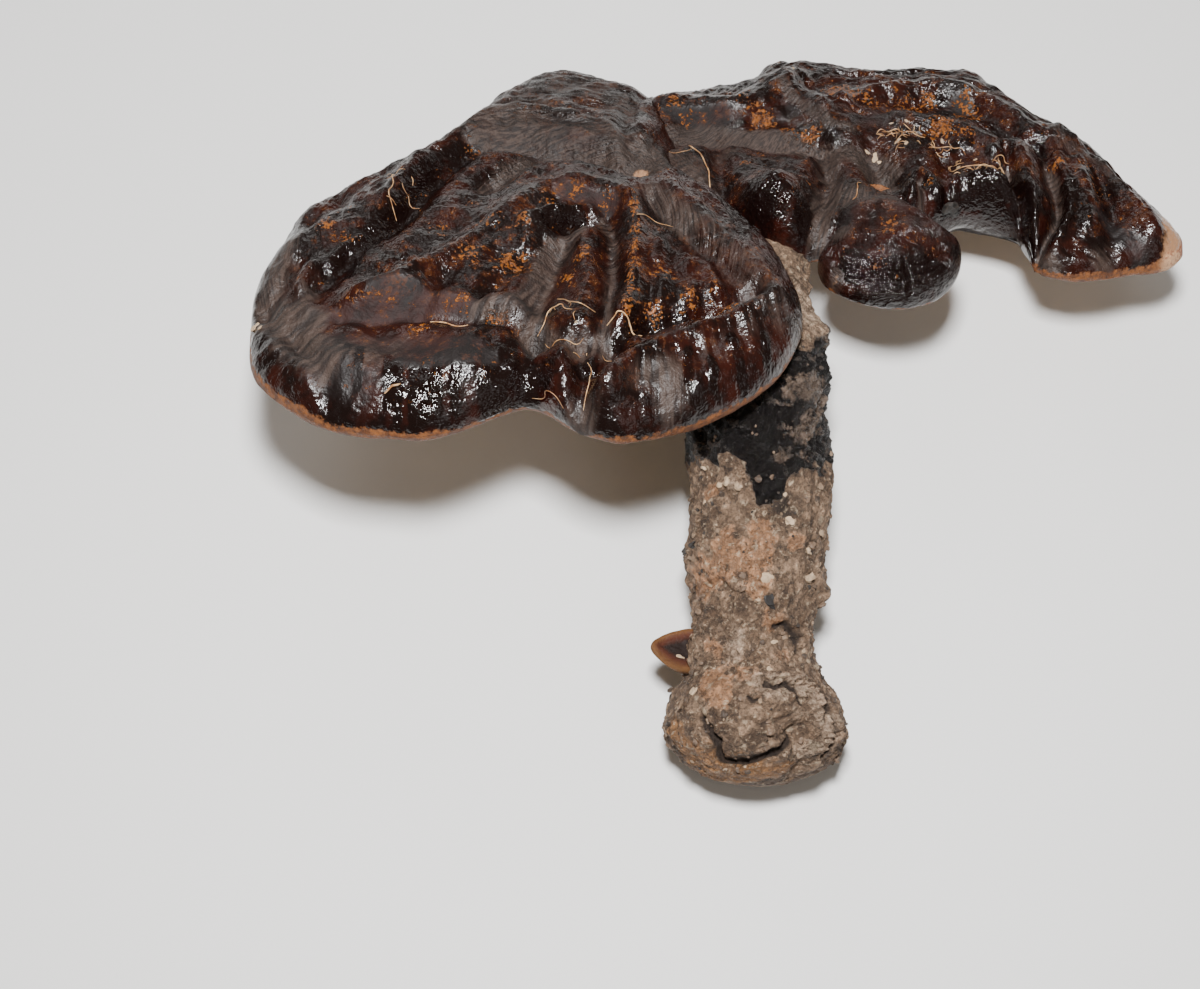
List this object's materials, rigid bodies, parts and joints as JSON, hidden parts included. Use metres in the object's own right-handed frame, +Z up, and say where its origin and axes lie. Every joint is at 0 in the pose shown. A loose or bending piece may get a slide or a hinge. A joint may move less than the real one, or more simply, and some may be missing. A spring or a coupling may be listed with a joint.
{
  "type": "lacquered bracket",
  "caption": "Picked stalked bracket fungus with glossy dark brown, ridged and lobed caps on a thick soil-crusted stem, lying on the foot of its stem and the rear rims of its caps",
  "frame": {"origin": "On the surface the fungus lies on, at a point on the flat rest patch under the foot of the stem", "axes": "+X runs to the right along the caps, +Y from the foot of the stem towards the caps, +Z up"},
  "size_m": [0.2566, 0.2297, 0.0925],
  "materials": {
    "cap_large": "glossy lacquer-like crust, dark red-brown, dusty in its hollows",
    "cap_right": "glossy lacquer-like crust, dark brown with rust patches",
    "cap_small": "glossy lacquer-like crust, nearly black",
    "stem": "rough soil crust, black lacquer near the caps",
    "bud": "dull brown with a tan rim"
  },
  "bodies": {
    "root": {"cap_large": "cap_large", "cap_right": "cap_right", "cap_small": "cap_small", "stem": "stem", "bud": "bud"}
  },
  "joints": []
}
